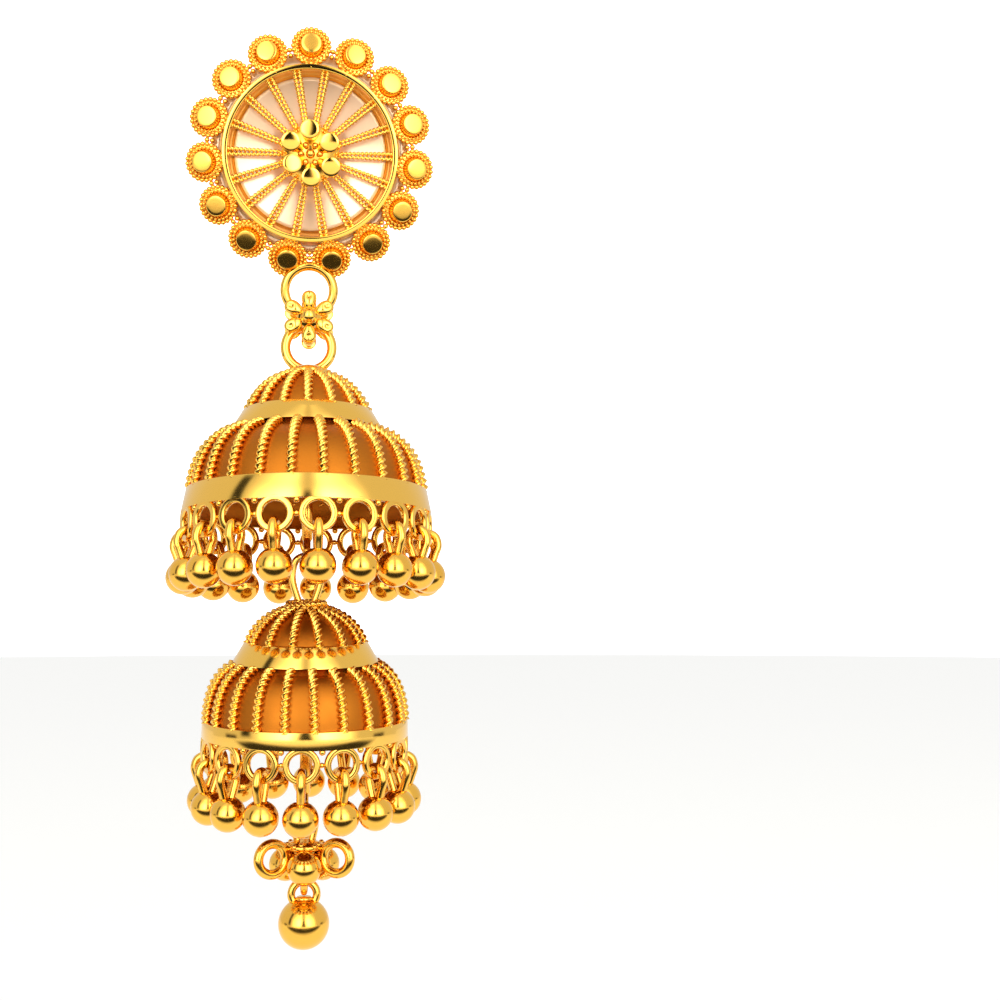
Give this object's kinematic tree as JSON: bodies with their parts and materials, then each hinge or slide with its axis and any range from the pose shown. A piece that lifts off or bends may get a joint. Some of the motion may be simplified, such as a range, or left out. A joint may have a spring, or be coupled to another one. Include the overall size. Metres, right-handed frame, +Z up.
{
  "type": "jhumka earring",
  "caption": "Gold two-tier jhumka earring with a wheel-shaped stud, a flower link, two pierced bells with ball fringes and a bottom cluster with an end ball.",
  "frame": {"origin": "axis of the ear post at the stud's back face", "axes": "+Z up, away from the hanging bells; -Y to the front, where the stud tips 13 degrees down; +X to the right seen from the front"},
  "size_m": [0.0207, 0.0207, 0.069],
  "materials": {
    "gold": "polished and granulated 22 carat gold"
  },
  "bodies": {
    "stud": {"stud_disc": "gold", "ear_post": "gold"},
    "link": {"flower_link": "gold"},
    "upper": {"upper_bell": "gold", "upper_drop_01": "gold", "upper_drop_02": "gold", "upper_drop_03": "gold", "upper_drop_04": "gold", "upper_drop_05": "gold", "upper_drop_06": "gold", "upper_drop_07": "gold", "upper_drop_08": "gold", "upper_drop_09": "gold", "upper_drop_10": "gold", "upper_drop_11": "gold", "upper_drop_12": "gold", "upper_drop_13": "gold", "upper_drop_14": "gold", "upper_drop_15": "gold", "upper_drop_16": "gold", "upper_drop_17": "gold", "upper_drop_18": "gold", "upper_drop_19": "gold"},
    "lower": {"lower_bell": "gold", "lower_drop_01": "gold", "lower_drop_02": "gold", "lower_drop_03": "gold", "lower_drop_04": "gold", "lower_drop_05": "gold", "lower_drop_06": "gold", "lower_drop_07": "gold", "lower_drop_08": "gold", "lower_drop_09": "gold", "lower_drop_10": "gold", "lower_drop_11": "gold", "lower_drop_12": "gold", "lower_drop_13": "gold", "lower_drop_14": "gold", "lower_drop_15": "gold", "lower_drop_16": "gold"},
    "end_drop": {"cluster": "gold", "end_ball": "gold"}
  },
  "joints": [
    {"name": "stud_hinge", "type": "hinge", "parent": "stud", "child": "link", "pos_m": [0, 0.00144, -0.01204], "axis": [1, 0, 0], "range_deg": [-8, 24.2]},
    {"name": "link_hinge", "type": "hinge", "parent": "link", "child": "upper", "pos_m": [0, 0.0013, -0.01399], "axis": [0, 0.9973, -0.0732], "range_deg": [-12, 12]},
    {"name": "bell_hinge", "type": "hinge", "parent": "upper", "child": "lower", "pos_m": [0, 0.00008, -0.03064], "axis": [1, 0, 0], "range_deg": [-28.4, 11.6]},
    {"name": "cluster_hinge", "type": "hinge", "parent": "lower", "child": "end_drop", "pos_m": [0, 0.00148, -0.04971], "axis": [1, 0, 0], "range_deg": [-10.8, 19.2]}
  ]
}
